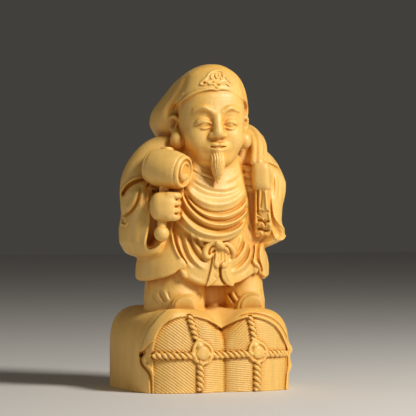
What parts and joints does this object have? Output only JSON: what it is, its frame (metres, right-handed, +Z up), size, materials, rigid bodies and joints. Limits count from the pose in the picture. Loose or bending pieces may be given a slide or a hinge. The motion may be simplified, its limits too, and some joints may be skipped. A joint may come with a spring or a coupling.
{
  "type": "daikoku figure",
  "caption": "Carved boxwood figure of a lucky god in hood and robe, holding a mallet and a sack, standing on rice bales.",
  "frame": {"origin": "middle of the underside of the bales, on the ground", "axes": "+Z up, along the figure's height; the figure faces -Y, and its right hand, with the mallet, is on the -X side"},
  "size_m": [0.0798, 0.069, 0.15],
  "materials": {
    "boxwood": "finely carved boxwood, smooth and satin"
  },
  "bodies": {
    "root": {"daikoku_figure": "boxwood"}
  },
  "joints": []
}
